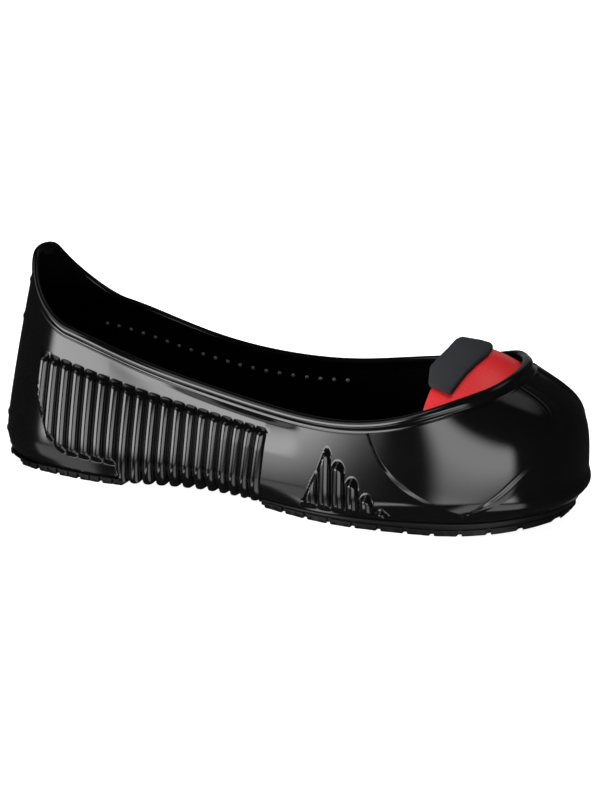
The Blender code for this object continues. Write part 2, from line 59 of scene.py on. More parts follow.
# The shell's sections, as in the solids: the widest outline, the collar line without the heel tab, the foot
# of the wall, how late the wall leans in, how far its foot turns under, and how the outer side's collar
# differs
Section = namedtuple(
    "Section",
    "station inner outer collar_station collar_inner collar_outer collar_height foot lean tuck"
    " outer_back outer_rise",
)
SECTIONS = (
    Section(0.0, 0.0, 0.0, 13.6, 0.0, 0.0, 78.3, 3.1, 1.20, 3.0, 0.0, 0.0),
    Section(5.0, 18.5, 18.5, 17.3, 13.5, 13.5, 77.6, 3.1, 1.20, 2.6, 0.0, 0.0),
    Section(19.5, 31.5, 31.5, 28.5, 23.5, 23.5, 75.6, 3.1, 1.30, 1.6, 0.0, 0.0),
    Section(44.0, 37.5, 37.5, 48.0, 29.5, 29.5, 71.8, 3.1, 1.40, 0.4, 0.0, -0.4),
    Section(82.0, 38.5, 39.0, 82.0, 30.5, 30.5, 61.4, 3.1, 1.60, 0.3, 0.0, 0.6),
    Section(120.0, 37.0, 39.5, 118.0, 33.0, 33.0, 54.0, 3.6, 1.70, 5.0, 0.0, 0.2),
    Section(159.0, 43.0, 47.0, 158.0, 40.5, 45.5, 50.0, 4.6, 1.70, 2.6, 0.0, -0.4),
    Section(194.0, 48.0, 53.0, 194.0, 47.0, 55.0, 49.7, 5.4, 1.70, 1.2, 0.0, 2.6),
    Section(227.0, 48.5, 52.0, 224.0, 48.5, 54.0, 55.4, 6.2, 1.90, 4.6, 0.0, 2.0),
    Section(258.0, 43.0, 43.5, 248.0, 42.5, 41.5, 64.5, 8.1, 3.70, 5.6, 1.5, 0.5),
    Section(279.0, 32.0, 31.5, 261.0, 29.5, 28.5, 69.0, 10.4, 5.00, 5.4, 6.5, -1.4),
    Section(290.0, 17.5, 17.0, 264.6, 15.5, 14.5, 70.8, 11.9, 5.40, 3.8, 4.0, -0.4),
    Section(293.0, 0.0, 0.0, 264.4, 0.0, 0.0, 71.2, 12.3, 5.40, 2.8, 0.0, 0.0),
)
TUCK_HEIGHT = 11.0

# How far the heel's sides lean in towards the sole, up to a height, and where that comes in and goes out
HEEL_TUCK = 1.6
HEEL_TUCK_HEIGHT = 20.0
HEEL_TUCK_IN = (0.0, 24.0)
HEEL_TUCK_OUT = (105.0, 150.0)

# The heel tab, by distance from the back of the heel
TAB_RISE = 24.4
TAB_HALF = 16.0
TAB_CORNER = 5.0
TAB_FLANK = 48.0
TAB_POWER = 1.6

# The rolled bead round the collar, with a fine seam line under it
BEAD_DROP = 4.6
BEAD_OUT = 1.1
LIP_OUT = 1.3
LIP_IN = 1.4
LIP_RISE = 4.5
LIP_FOOT = 0.03
LIP_FADE = 4.0
LIP_START = 235.0
SEAM_DROP = 5.5
SEAM_OUT = 0.15
SEAM_WIDTH = 0.5
BEAD_ZONE = 7.5

# The hollow under the bead along the waist: its depth, where it starts, is deepest and ends below the rim,
# and how it grows and fades by distance from the heel
FLARE_DEEP = 0.9
FLARE_DROPS = (4.6, 9.0, 22.0)
FLARE_AT = (90.0, 160.0, 176.0, 196.0)

# The upright ribs of each side, by distance from the back of the heel
RIB_COUNT = 19
RIB_FIRST = 51.6
RIB_PITCH = 7.40
RIB_EASE = 0.032
RIB_HEIGHT = 2.4
RIB_CROWN_POWER = 2.5
RIB_END = 3.6
RIB_STEPS = (-1.0, -0.86, -0.71, -0.56, -0.4, -0.22, 0.0, 0.22, 0.4, 0.56, 0.71, 0.86)
LEAST_RIB = 1.5
RIB_TOP_SHARE = 0.78
RIB_FLOOR_AT = (47.5, 50.6, 53.3, 59.0, 64.5, 70.0, 97.5, 100.5)
RIB_FLOOR = (57.0, 41.5, 29.8, 17.7, 12.5, 10.3, 9.0, 3.0)
RIB_UNDER = 4.0
RIB_WRAP = 1.6
RIB_LEAN = 0.16
RIB_LEAN_AT = (60.0, 175.0, 200.0)
RIB_LEAN_LEVEL = 38.0
INNER_RELIEF = 0.3

# The triangle of short ribs behind the ball. Each rib's round top is read off the front slope at one share of
# its width.
TRIANGLE_COUNT = 6
TRIANGLE_FIRST = 201.3
TRIANGLE_PITCH = 7.05
TRIANGLE_APEX = (209.8, 37.3)
TRIANGLE_REAR_SLOPE = 2.3
TRIANGLE_FRONT_SLOPE = 0.95
TRIANGLE_STEP_AT = 0.6
TRIANGLE_ROUND = 4.0
TRIANGLE_FOOT = 1.2

# The low bumper round the toe
BUMPER_OUT = 1.8
BUMPER_START = 268.0
BUMPER_HEIGHT = 6.0

# The ridges across the back of the heel: their heights, and how far round they reach
HEEL_RIDGES = (87.0, 69.0, 21.0, 12.5, 5.5)
HEEL_RIDGE_OUT = 0.5
HEEL_RIDGE_HALF = 1.6
HEEL_RIDGE_REACH = 30.0
HEEL_RIDGE_FADE = 12.0

# The raised toe panel of each side, from its lower point up to the collar
PanelRow = namedtuple("PanelRow", "rear rear_share front front_share")
PANEL = (
    PanelRow(273.0, 0.088, 275.5, 0.088),
    PanelRow(263.7, 0.134, 283.0, 0.155),
    PanelRow(250.4, 0.270, 291.0, 0.245),
    PanelRow(244.0, 0.370, 299.0, 0.360),
    PanelRow(238.0, 0.500, 308.0, 0.480),
    PanelRow(233.6, 0.620, 316.0, 0.630),
    PanelRow(230.5, 0.760, 320.5, 0.780),
    PanelRow(228.4, 0.880, 319.0, 0.910),
)
PANEL_OUT = (1.2, 0.6)
PANEL_ROOT = 0.9
PANEL_REAR_BEVEL = 4.0
PANEL_STEP = 0.9
PANEL_FACET = 4.0
PANEL_FACET_SHARE = 0.3
PANEL_BAND = (1.8, 2.4)
PANEL_CREASE = (0.4, 0.4)
PANEL_BROW = (0.4, -0.12)
PANEL_DIP_REACH = 1.4
PANEL_LOW = (0.35, 0.70)
PANEL_SKIRT = 10.0
PANEL_SINK = 0.1
PANEL_EDGE = 6.0
PANEL_ROWS = 90
PANEL_EDGE_COLUMNS = 24
PANEL_COLUMNS = 40
PANEL_SKIRT_COLUMNS = 20

# The sole: lugs on a core, with a plate under the forefoot and a slab in the waist that reaches into the wall
LUG = 2.8
LUG_BEVEL = 0.4
LUG_SINK = 0.05
BOND = 0.4
CORE_TOP = 7.0
ARCH_LIFT = 3.5
ARCH_START = 2.0
ARCH_FADE = 12.0
WAIST_INSET = 1.0
WAIST_UP = 0.6
WAIST_LAP = 3.0
SPRING = 7.0
SPRING_START = 230.0
SPRING_POWER = 1.8
HEEL_PAD_END = 101.5
FOREFOOT_PLATE_START = 165.0
FOREFOOT_PAD_START = 170.0
PAD_INSET = 0.1
WEB_INSET = 0.8
WEB_DEEP = 0.8
HEEL_PAD_OUT = 0.5
GROOVE = 2.0
GROOVE_FIRST = 9.4
GROOVE_PITCH = 12.0
CHANNEL = 3.0
NOTCH_HALF = 0.5
NOTCH_DEEP = 0.9
BAR_INSET = (0.9, 3.4)
BAR_UP = 0.7
BAR_BEVEL = 0.2
TOE_UNDER = 2.0
TOE_UNDER_START = 262.0
Channel = namedtuple("Channel", "start end half")
CHANNELS = (Channel(5.0, 74.0, 20.0), Channel(150.0, 242.0, 26.0))
SLAB_STEP = 3.0
END_MARGIN = 1.5

INSOLE_THICK = 2.0
INSOLE_INSET = 0.75

# The sheet inside the wall, near black and matte: painted shade for the dark inside of the shoe. And the row
# of small light-grey pips on it: painted glints at the hollow ribs' upper ends
SHADE_SHEET_REACH = 225.0
SHADE_SHEET_THICK = 0.4
SHADE_SHEET_LOW = 4.0
SHADE_SHEET_DROP = 6.0
SHADE_SHEET_GAP = 0.05
GLINT_PIP_COUNT = 20
GLINT_PIP_FIRST = 52.7
GLINT_PIP_PITCH = 7.15
GLINT_PIP_EASE = 0.0248
GLINT_PIP_SHARE = 0.785
GLINT_PIP_HALF = 1.0
GLINT_PIP_ROUND = 1.5

# The toe cap: a dome, open behind and below, with its peak a little off the middle
CAP_REAR = 231.0
CAP_LENGTH = 55.5
CAP_HALF = 42.2
CAP_MIDDLE = 0.7
CAP_TOP = 75.5
CAP_PEAK = 4.0
CAP_DOME = 0.043
CAP_DOME_POWER = 1.6
CAP_PLAN_POWER = 0.64
CAP_SIDE_POWER = 12.0
CAP_FALL_POWER = 1.9
CAP_THICK = 2.0
CAP_TURNS = 121
CAP_STEPS = 49

# The guard that hooks over the cap's rear edge
GuardRow = namedtuple("GuardRow", "across back front")
GUARD = (
    GuardRow(0.00, 229.4, 246.4),
    GuardRow(0.14, 229.2, 245.6),
    GuardRow(0.28, 228.0, 244.5),
    GuardRow(0.45, 226.4, 243.1),
    GuardRow(0.56, 227.8, 242.3),
    GuardRow(0.66, 229.3, 241.5),
    GuardRow(0.69, 230.2, 241.3),
    GuardRow(0.735, 239.6, 241.1),
)
GUARD_THICK = 2.3
GUARD_STEPS = 81
GUARD_OUTER_END = 0.66
GUARD_OUTER_TRIM = 5.5
GUARD_TRIM_AT = (0.25, 0.65)

# How finely the shell, the sheet of painted shade inside it and the pips of painted glint are cut
COLUMN_STEP = 1.7
SHELL_ROWS = 66
SEAM_ROWS = 14
BEAD_TURNS = 17
INNER_ROWS = 20
SHADE_SHEET_COLUMNS = 160
SHADE_SHEET_ROWS = 24
GLINT_PIP_TURNS = 16
GLINT_PIP_RINGS = 6

# Edges that bend by more degrees than this are drawn sharp
SHARP_EDGE = 50.0

# The camera: its angles and distance from a point over the floor, and the lens
CAMERA_AZIMUTH = 24.5
CAMERA_ELEVATION = 17.2
CAMERA_DISTANCE = 1116.0
CAMERA_AT = (8.0, 0.0, 40.6)
CAMERA_LENS = 108.0

# The studio: lamps that each fill a window of directions, by name, azimuths, elevations, brightness and the
# width over which their edges fade
SOFTBOXES = (
    ("left_box", (-50.5, -20.5), (-14.0, 12.0), 6.2, 8.0),
    ("left_top", (-56.0, -24.0), (17.0, 58.0), 1.0, 4.0),
    ("left_apron", (-58.0, -33.0), (-29.5, -18.0), 1.0, 4.0),
    ("left_low", (-50.0, -13.0), (-39.0, -31.5), 2.8, 4.0),
    ("left_fill", (-175.0, -132.0), (-40.0, 30.0), 0.08, 10.0),
    ("right_box", (0.0, 44.0), (-19.0, -3.5), 3.6, 10.0),
    ("right_floor", (8.0, 60.0), (-60.0, -26.0), 1.5, 8.0),
    ("back_box", (95.0, 170.0), (45.0, 66.0), 0.4, 14.0),
)
LAMP_DISTANCE = 6.0
FLOOR_REACH = 8.0
WORLD_GLOW = 0.02
FLOOR_GLOW = 0.96
OVERHEAD = 2.0
OVERHEAD_SPREAD = 60.0


def closed_spline(knots, values):
    """A smooth closed curve through rows of values. The knots have one entry more, where the curve closes."""
    count = len(values)
    step = np.diff(knots)
    matrix = np.zeros((count, count))
    right = np.zeros(values.shape)
    for i in range(count):
        after = (i + 1) % count
        matrix[i, i - 1] += step[i - 1]
        matrix[i, i] += 2 * (step[i - 1] + step[i])
        matrix[i, after] += step[i]
        right[i] = 6 * ((values[after] - values[i]) / step[i] - (values[i] - values[i - 1]) / step[i - 1])
    bend = np.linalg.solve(matrix, right)

    def at(distance):
        distance = np.mod(distance, knots[-1])
        i = np.clip(np.searchsorted(knots, distance, side="right") - 1, 0, count - 1)
        j = (i + 1) % count
        width = step[i][..., None]
        left = (knots[i + 1] - distance)[..., None]
        gone = (distance - knots[i])[..., None]
        cubic = (bend[i] * left**3 + bend[j] * gone**3) / (6 * width)
        straight = (values[i] / width - bend[i] * width / 6) * left
        return cubic + straight + (values[j] / width - bend[j] * width / 6) * gone

    return at


def section_rows():
    """The sections as rows round the shoe: the inner side out to the toe, then the outer side back."""
    rows = []
    for side, sections in ((-1, SECTIONS), (1, SECTIONS[-2:0:-1])):
        for s in sections:
            if side < 0:
                half, collar_half = s.inner, s.collar_inner
                collar_at, high = s.collar_station, s.collar_height
            else:
                half, collar_half = s.outer, s.collar_outer
                collar_at, high = s.collar_station - s.outer_back, s.collar_height + s.outer_rise
            plan = (s.station - LENGTH / 2, side * half, collar_at - LENGTH / 2, side * collar_half)
            rows.append(plan + (high, s.foot, s.lean, s.tuck))
    return np.array(rows)


ROWS = section_rows()
STRIDES = np.roll(ROWS[:, :2], -1, axis=0) - ROWS[:, :2]
KNOTS = np.concatenate([[0], np.cumsum(np.linalg.norm(STRIDES, axis=1))])
ROUND = KNOTS[-1]
TOE = KNOTS[len(SECTIONS) - 1]
column = closed_spline(KNOTS, ROWS)


def smooth(share):
    share = np.clip(share, 0, 1)
    return share * share * (3 - 2 * share)


def from_heel(distance):
    """How far a place is from the back of the heel along its own side, as if the toe were as far on both."""
    distance = np.mod(distance, ROUND)
    return np.where(distance <= TOE, distance, (ROUND - distance) * TOE / (ROUND - TOE))


def round_from(side, far):
    """The distance round of a place on the inner (-1) or the outer (1) side."""
    far = np.asarray(far, float)
    return far if side < 0 else ROUND - far * (ROUND - TOE) / TOE


def foot_height(distance):
    return column(np.asarray(distance, float))[..., 5]


def collar_line(distance):
    """The collar's height without the tab."""
    return column(np.asarray(distance, float))[..., 4]


def collar_height(distance):
    beyond = from_heel(distance) - TAB_HALF
    past = 0.5 * (beyond + np.sqrt(beyond**2 + TAB_CORNER**2))
    return collar_line(distance) + TAB_RISE * np.clip(1 - past / TAB_FLANK, 0, 1) ** TAB_POWER


def lip_share(distance):
    """How much of the throat's standing lip a place has: 0 behind it, 1 at the toe."""
    return smooth((from_heel(distance) - LIP_START) / (TOE - LIP_START))


def heel_tuck(distance):
    """How far the foot of the heel's side leans in."""
    far = from_heel(distance)
    start, full = HEEL_TUCK_IN
    fade, end = HEEL_TUCK_OUT
    return HEEL_TUCK * smooth((far - start) / (full - start)) * smooth((end - far) / (end - fade))


def outward(distance):
    """The plan direction that points out of the shoe."""
    step = (column(distance + 0.05) - column(distance - 0.05))[..., :2]
    step = step / np.linalg.norm(step, axis=-1, keepdims=True)
    return np.stack([step[..., 1], -step[..., 0]], -1)


def wall(distance, height):
    """A point of the shell's outer face, with no relief on it."""
    distance, height = np.broadcast_arrays(np.asarray(distance, float), np.asarray(height, float))
    at = column(distance)
    above = height - at[..., 5]
    lip = lip_share(distance)
    lean = np.clip(above / (at[..., 4] - at[..., 5] - LIP_RISE * lip), 0, None)
    upright = (lean + 1 - np.sqrt((lean - 1) ** 2 + LIP_FOOT**2)) / 2
    lean = np.clip(lean + (upright - lean) * smooth(4 * lip), 0, None) ** at[..., 6]
    tuck = at[..., 7] * np.clip(1 - above / TUCK_HEIGHT, 0, 1) ** 2
    tuck = tuck + heel_tuck(distance) * np.clip(1 - above / HEEL_TUCK_HEIGHT, 0, 1) ** 2
    plan = at[..., :2] + (at[..., 2:4] - at[..., :2]) * lean[..., None] - outward(distance) * tuck[..., None]
    return np.concatenate([plan, height[..., None]], -1)


def wall_normal(distance, height):
    along = wall(distance + 0.3, height) - wall(distance - 0.3, height)
    up = wall(distance, height + 0.3) - wall(distance, height - 0.3)
    normal = np.cross(along, up)
    return normal / np.linalg.norm(normal, axis=-1, keepdims=True)


def rib_edges():
    """The grooves beside the upright ribs, by distance from the heel."""
    index = np.arange(RIB_COUNT + 1) - 0.5
    return RIB_FIRST + index * (RIB_PITCH - RIB_EASE * index)


RIB_EDGES = rib_edges()
TRIANGLE_EDGES = TRIANGLE_FIRST + (np.arange(TRIANGLE_COUNT + 1) - 0.5) * TRIANGLE_PITCH


def ridge(far, edges):
    """How far up a rib a place lies: 0 in the grooves and away from the ribs, 1 along a crest."""
    i = np.clip(np.searchsorted(edges, far, side="right") - 1, 0, len(edges) - 2)
    across = np.abs(2 * (far - edges[i]) / (edges[i + 1] - edges[i]) - 1)
    return np.clip(1 - across**RIB_CROWN_POWER, 0, 1)


def rib_floor(distance):
    """The line that the ribs' lower ends follow round the smooth heel."""
    far = from_heel(distance)
    low = np.interp(far, RIB_FLOOR_AT, RIB_FLOOR)
    return np.where(far > RIB_FLOOR_AT[-1], foot_height(distance) - RIB_UNDER, low)


def rib_span(distance):
    """The heights where the ribs start and end."""
    far = from_heel(distance)
    low = rib_floor(distance)
    high = RIB_TOP_SHARE * collar_line(distance)
    apex_at, apex = TRIANGLE_APEX
    behind = apex + (far - apex_at) * TRIANGLE_REAR_SLOPE
    rib = np.clip(np.searchsorted(TRIANGLE_EDGES, far, side="right") - 1, 0, TRIANGLE_COUNT - 1)
    stepped = TRIANGLE_EDGES[rib] + TRIANGLE_STEP_AT * TRIANGLE_PITCH
    across = 2 * (far - TRIANGLE_EDGES[rib]) / TRIANGLE_PITCH - 1
    ahead = apex - np.clip(stepped - apex_at, 0, None) * TRIANGLE_FRONT_SLOPE
    ahead = ahead - TRIANGLE_ROUND * across**2
    in_triangle = far > RIB_EDGES[-1] + 0.1
    low = np.where(in_triangle, foot_height(distance) + TRIANGLE_FOOT, low)
    high = np.where(in_triangle, np.maximum(np.minimum(behind, ahead), low + LEAST_RIB), high)
    return np.minimum(low, high - LEAST_RIB), high


def rib_relief(distance, height):
    far = from_heel(distance)
    low, high = rib_span(distance)
    end = np.minimum(RIB_END, 0.3 * (high - low))
    along = smooth((height - low) / end) * smooth((high - height) / end)
    crest = np.maximum(ridge(far, RIB_EDGES), ridge(far, TRIANGLE_EDGES))
    return RIB_HEIGHT * crest * along


def bumper_relief(distance, height):
    up = 1 - np.abs(height - foot_height(distance) - BUMPER_HEIGHT) / BUMPER_HEIGHT
    return BUMPER_OUT * smooth((from_heel(distance) - BUMPER_START) / (TOE - BUMPER_START)) * smooth(up)


def heel_relief(distance, height):
    """The small ridges across the back of the heel."""
    reach = smooth((HEEL_RIDGE_REACH - from_heel(distance)) / HEEL_RIDGE_FADE)
    total = 0.0
    for level in HEEL_RIDGES:
        total = total + smooth(1 - np.abs(height - level) / HEEL_RIDGE_HALF)
    return HEEL_RIDGE_OUT * reach * total


def flare_relief(distance, height):
    """The shallow hollow that lets the wall flare out to the bead."""
    drop = collar_height(distance) - height
    start, deepest, end = FLARE_DROPS
    hollow = smooth((drop - start) / (deepest - start)) * smooth((end - drop) / (end - deepest))
    return -FLARE_DEEP * hollow * np.interp(from_heel(distance), FLARE_AT, (0, 1, 1, 0))


def seam_relief(distance, height):
    drop = collar_height(distance) - height
    return SEAM_OUT * smooth(1 - np.abs(drop - SEAM_DROP) / SEAM_WIDTH)


def bead_out(distance):
    """How far the collar's bead stands out of the wall."""
    return BEAD_OUT + (LIP_OUT - BEAD_OUT) * lip_share(distance)


def bead_in(distance):
    """How deep the bead lies behind the wall's face: deeper at the throat's lip."""
    return WALL + LIP_IN * lip_share(distance)


def leaned(distance, height):
    """The distance round at a height on a column: the ribs near the waist lean forward as they rise."""
    forward = np.where(np.mod(distance, ROUND) <= TOE, RIB_LEAN, -RIB_LEAN)
    share = np.interp(from_heel(distance), RIB_LEAN_AT, (0, 1, 0))
    return distance + forward * share * (height - RIB_LEAN_LEVEL)


def shell_point(distance, height, off):
    at = leaned(distance, height)
    return wall(at, height) + wall_normal(at, height) * np.asarray(off)[..., None]


# Where the object stands in the frame
cap_low, cap_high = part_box("toe_cap")
SHIFT = np.array([
    cap_low.x / MM - (CAP_REAR - LENGTH / 2),
    (cap_low.y + cap_high.y) / 2 / MM - CAP_MIDDLE,
    0.0,
])


def placed(points):
    """Points of the tables, in the frame's metres."""
    return (np.asarray(points, float) + SHIFT) * MM


def new_object(name, points, faces, material, smooth_shade=True):
    mesh = bpy.data.meshes.new(name)
    mesh.from_pydata(placed(points).tolist(), [], faces)
    mesh.validate()
    mesh.update()
    mesh.polygons.foreach_set("use_smooth", [smooth_shade] * len(mesh.polygons))
    mesh.set_sharp_from_angle(angle=math.radians(SHARP_EDGE))
    mesh.materials.append(material)
    obj = bpy.data.objects.new(name, mesh)
    bpy.context.scene.collection.objects.link(obj)
    return obj


def loft(sections, round_trip):
    """Points and faces through closed sections: joined end to end, or with the two ends capped."""
    count, size = sections.shape[:2]
    faces = []
    for i in range(count if round_trip else count - 1):
        this, following = i * size, (i + 1) % count * size
        for j in range(size):
            k = (j + 1) % size
            faces.append((this + j, following + j, following + k, this + k))
    if not round_trip:
        for first, turn in ((0, 1), ((count - 1) * size, -1)):
            for j in range(size // 2 - 1):
                back = first + size - 1 - j
                faces.append((first + j, first + j + 1, back - 1, back)[::turn])
    return sections.reshape(-1, 3), faces


def shell_columns():
    """The distances round of the fine shell's columns, closer across the ribs."""
    steps = np.array(RIB_STEPS)
    far = list(np.arange(0.0, RIB_EDGES[0] - 0.5, COLUMN_STEP))
    for edges, ahead in ((RIB_EDGES, TRIANGLE_EDGES[0]), (TRIANGLE_EDGES, TOE)):
        for start, end in zip(edges, edges[1:]):
            far += list((start + end) / 2 + steps * (end - start) / 2)
        far += list(np.arange(edges[-1], ahead - 0.5, COLUMN_STEP))
    inner = round_from(-1, far)
    outer = round_from(1, far[:0:-1])
    return np.concatenate([inner, [TOE], outer])


def make_upper(material):
    at = shell_columns()[:, None]
    foot = foot_height(at)
    collar = collar_height(at)
    ribbed = ridge(from_heel(at), RIB_EDGES) * (from_heel(at) > RIB_FLOOR_AT[-1])
    outer_shares = np.linspace(0, 1, SHELL_ROWS)[None, :]
    heights = foot + outer_shares * (collar - BEAD_ZONE - foot)
    heights[:, :1] -= RIB_WRAP * ribbed
    seam_drops = np.linspace(BEAD_ZONE, BEAD_DROP, SEAM_ROWS)[None, 1:]
    heights = np.concatenate([heights, collar - seam_drops], 1)
    off = rib_relief(at, heights) + bumper_relief(at, heights) + flare_relief(at, heights)
    off += heel_relief(at, heights) + seam_relief(at, heights)
    outside = shell_point(at, heights, off)

    # the bead is an oval roll on the wall's edge
    turns = np.radians(np.linspace(-70, 180, BEAD_TURNS))[None, :]
    half = (bead_in(at) + bead_out(at)) / 2
    middle = (bead_out(at) - bead_in(at)) / 2
    bead_heights = collar - BEAD_DROP / 2 * (1 - np.sin(turns))
    bead_off = middle + half * np.cos(turns)
    bead_off = np.where(turns < 0, np.maximum(bead_off, 0), bead_off)
    bead = shell_point(at, bead_heights, bead_off)

    inner_shares = np.linspace(1, 0, INNER_ROWS)[None, 1:]
    inner_heights = foot + inner_shares * (collar - BEAD_DROP / 2 - foot)
    edge = np.clip(1 - (collar - BEAD_DROP / 2 - inner_heights) / LIP_FADE, 0, 1)
    inner_off = INNER_RELIEF * rib_relief(at, inner_heights) - WALL - (bead_in(at) - WALL) * smooth(edge)
    inside = shell_point(at, inner_heights, inner_off)
    points, faces = loft(np.concatenate([outside, bead, inside], 1), True)
    return new_object("upper_shell", points, faces, material)


def make_shade_sheet(material):
    """A thin layer on the inside of the wall, behind the toe cap. It is near black and matte: a sheet of
    painted shade for the dark inside of the shoe.
    """
    start = round_from(1, SHADE_SHEET_REACH) - ROUND
    at = np.linspace(start, SHADE_SHEET_REACH, SHADE_SHEET_COLUMNS)[:, None]
    shares = np.linspace(0, 1, SHADE_SHEET_ROWS)[None, :]
    low = foot_height(at) + SHADE_SHEET_LOW
    height = low + shares * (collar_height(at) - SHADE_SHEET_DROP - low)
    outer = shell_point(at, height, 0 * height - WALL - SHADE_SHEET_GAP)
    inner = shell_point(at, height[:, ::-1], 0 * height - WALL - SHADE_SHEET_THICK)
    points, faces = loft(np.concatenate([outer, inner], 1), False)
    return new_object("painted_shade_sheet", points, faces, material)


def ring_faces(rings, size):
    """The faces between loops of one size, one after another."""
    faces = []
    for k in range(rings - 1):
        for i in range(size):
            j = (i + 1) % size
            faces.append((k * size + i, k * size + j, (k + 1) * size + j, (k + 1) * size + i))
    return faces


def dome(middle, normal):
    """Points and faces of a shallow dome that stands on a point of a wall."""
    along = np.cross(normal, (0.0, 0.0, 1.0))
    along = along / np.linalg.norm(along)
    up = np.cross(along, normal)
    turns = np.linspace(0, 2 * math.pi, GLINT_PIP_TURNS, endpoint=False)
    rings = []
    for angle in np.linspace(math.asin(GLINT_PIP_HALF / GLINT_PIP_ROUND), 0.04, GLINT_PIP_RINGS):
        out = GLINT_PIP_ROUND * math.sin(angle)
        rise = GLINT_PIP_ROUND * math.cos(angle) - math.sqrt(GLINT_PIP_ROUND**2 - GLINT_PIP_HALF**2)
        circle = np.outer(np.cos(turns), along) + np.outer(np.sin(turns), up)
        rings.append(middle + out * circle + rise * normal)
    last = (GLINT_PIP_RINGS - 1) * GLINT_PIP_TURNS
    ends = [tuple(range(GLINT_PIP_TURNS))[::-1], tuple(range(last, last + GLINT_PIP_TURNS))]
    return np.concatenate(rings), ends + ring_faces(GLINT_PIP_RINGS, GLINT_PIP_TURNS)


def make_glint_pips(material):
    # The pips' light-grey colour is a painted glint: it stands for the small highlights at the hollow ribs'
    # upper ends
    index = np.arange(GLINT_PIP_COUNT)
    far = GLINT_PIP_FIRST + index * (GLINT_PIP_PITCH - GLINT_PIP_EASE * index)
    parts = []
    for side in (-1, 1):
        at = round_from(side, far)
        height = GLINT_PIP_SHARE * collar_line(at)
        middles = shell_point(at, height, 0 * at - WALL - SHADE_SHEET_THICK)
        for middle, normal in zip(middles, -wall_normal(at, height)):
            parts.append(dome(middle, normal))
    points, faces = joined(parts)
    return new_object("pips_of_painted_glint", points, faces, material)


def spread(rows, share):
    """Columns of a table read at a share of its length, on a smooth curve."""
    table = np.array(rows)
    place = np.asarray(share) * (len(table) - 1)
    i = np.clip(place.astype(int), 0, len(table) - 2)
    t = (place - i)[..., None]
    before = table[np.maximum(i - 1, 0)]
    after = table[np.minimum(i + 2, len(table) - 1)]
    start, end = table[i], table[i + 1]
    lead, trail = (end - before) / 2, (after - start) / 2
    return (
        start * (1 + 2 * t) * (1 - t) ** 2 + lead * t * (1 - t) ** 2
        + end * t * t * (3 - 2 * t) + trail * t * t * (t - 1)
    )


def panel_level(from_rear, from_front, low):
    """How far a toe panel's face stands out of the wall.

    It rises from its rear edge, over a step and a facet in its lower part. Before its front edge it dips into
    a crease under the round brow of the toe, which fades into the wall.
    """
    pairs = (PANEL_BAND, PANEL_CREASE, PANEL_BROW)
    band, crease, brow = (upper + (lower - upper) * low for upper, lower in pairs)
    share = np.clip(from_rear / (from_rear + np.clip(from_front, 0, None) + 0.01), 0, 1)
    out = PANEL_OUT[0] + (PANEL_OUT[1] - PANEL_OUT[0]) * share
    top = PANEL_OUT[1] + brow
    face = out - crease * smooth(1 - (from_front - band) / PANEL_DIP_REACH)
    rising = face + (top - face) * np.clip(1 - from_front / band, 0, 1)
    fading = (top + PANEL_SINK) * smooth(1 + from_front / PANEL_SKIRT) - PANEL_SINK
    level = np.where(from_front > 0, rising, fading)
    bevel = smooth(from_rear / PANEL_REAR_BEVEL)
    step = (1 - PANEL_FACET_SHARE) * smooth(from_rear / PANEL_STEP)
    step = step + PANEL_FACET_SHARE * np.clip((from_rear - PANEL_STEP) / PANEL_FACET, 0, 1)
    return (level + GAP) * (bevel + (step - bevel) * low) - GAP


def make_panel(name, side, material):
    """A raised toe panel, with the brow of the toe in front of it."""
    rows = spread(PANEL, np.linspace(0, 1, PANEL_ROWS))
    rear, rear_share, front, front_share = (rows[:, k : k + 1] for k in range(4))
    width = front - rear
    edge = np.minimum(PANEL_EDGE, 0.4 * width)
    fine = np.linspace(0, 1, PANEL_EDGE_COLUMNS)[None, :]
    coarse = np.linspace(0, 1, PANEL_COLUMNS)[None, 1:-1]
    ahead = np.linspace(0, 1, PANEL_SKIRT_COLUMNS + 1)[None, 1:]
    middle = edge + (width - 2 * edge) * coarse
    inside = np.concatenate([edge * fine, middle, width - edge * fine[:, ::-1]], 1)
    far = np.concatenate([rear + inside, front + PANEL_SKIRT * ahead], 1)
    within = rear_share + (front_share - rear_share) * inside / width
    share = np.concatenate([within, front_share + 0 * ahead], 1)
    at = round_from(side, far)
    height = foot_height(at) + share * (collar_height(at) - foot_height(at))
    normal = wall_normal(at, height)
    narrow = edge / PANEL_EDGE
    low = smooth((PANEL_LOW[1] - front_share) / (PANEL_LOW[1] - PANEL_LOW[0]))
    from_front = np.where(far < front, (front - far) / narrow, front - far)
    level = panel_level((far - rear) / narrow, from_front, low)
    outer = wall(at, height) + normal * level[..., None]
    inner = wall(at, height) - normal * PANEL_ROOT
    points, faces = loft(np.concatenate([outer, inner[:, ::-1]], 1)[::side], False)
    return new_object(name, points, faces, material)


def spring(x):
    """How far the toe spring lifts the sole at a place along the foot."""
    station = np.asarray(x) + LENGTH / 2
    return SPRING * np.clip((station - SPRING_START) / (LENGTH - SPRING_START), 0, 1) ** SPRING_POWER


def arch(far):
    """How far the waist's underside lies above the pads' roots."""
    rise = smooth((far - HEEL_PAD_END - ARCH_START) / ARCH_FADE)
    return (ARCH_LIFT + BOND - LUG) * rise * smooth((FOREFOOT_PLATE_START - far) / ARCH_FADE)


def toe_under(distance):
    """How far the tread's edge draws in under the toe."""
    return TOE_UNDER * smooth((from_heel(distance) - TOE_UNDER_START) / (TOE - TOE_UNDER_START))


def tread_under(distance):
    """How far the tread's edge lies inside the foot of the wall: it stands out under the heel's sides."""
    return toe_under(distance) - heel_tuck(distance) * (1 + HEEL_PAD_OUT / HEEL_TUCK)


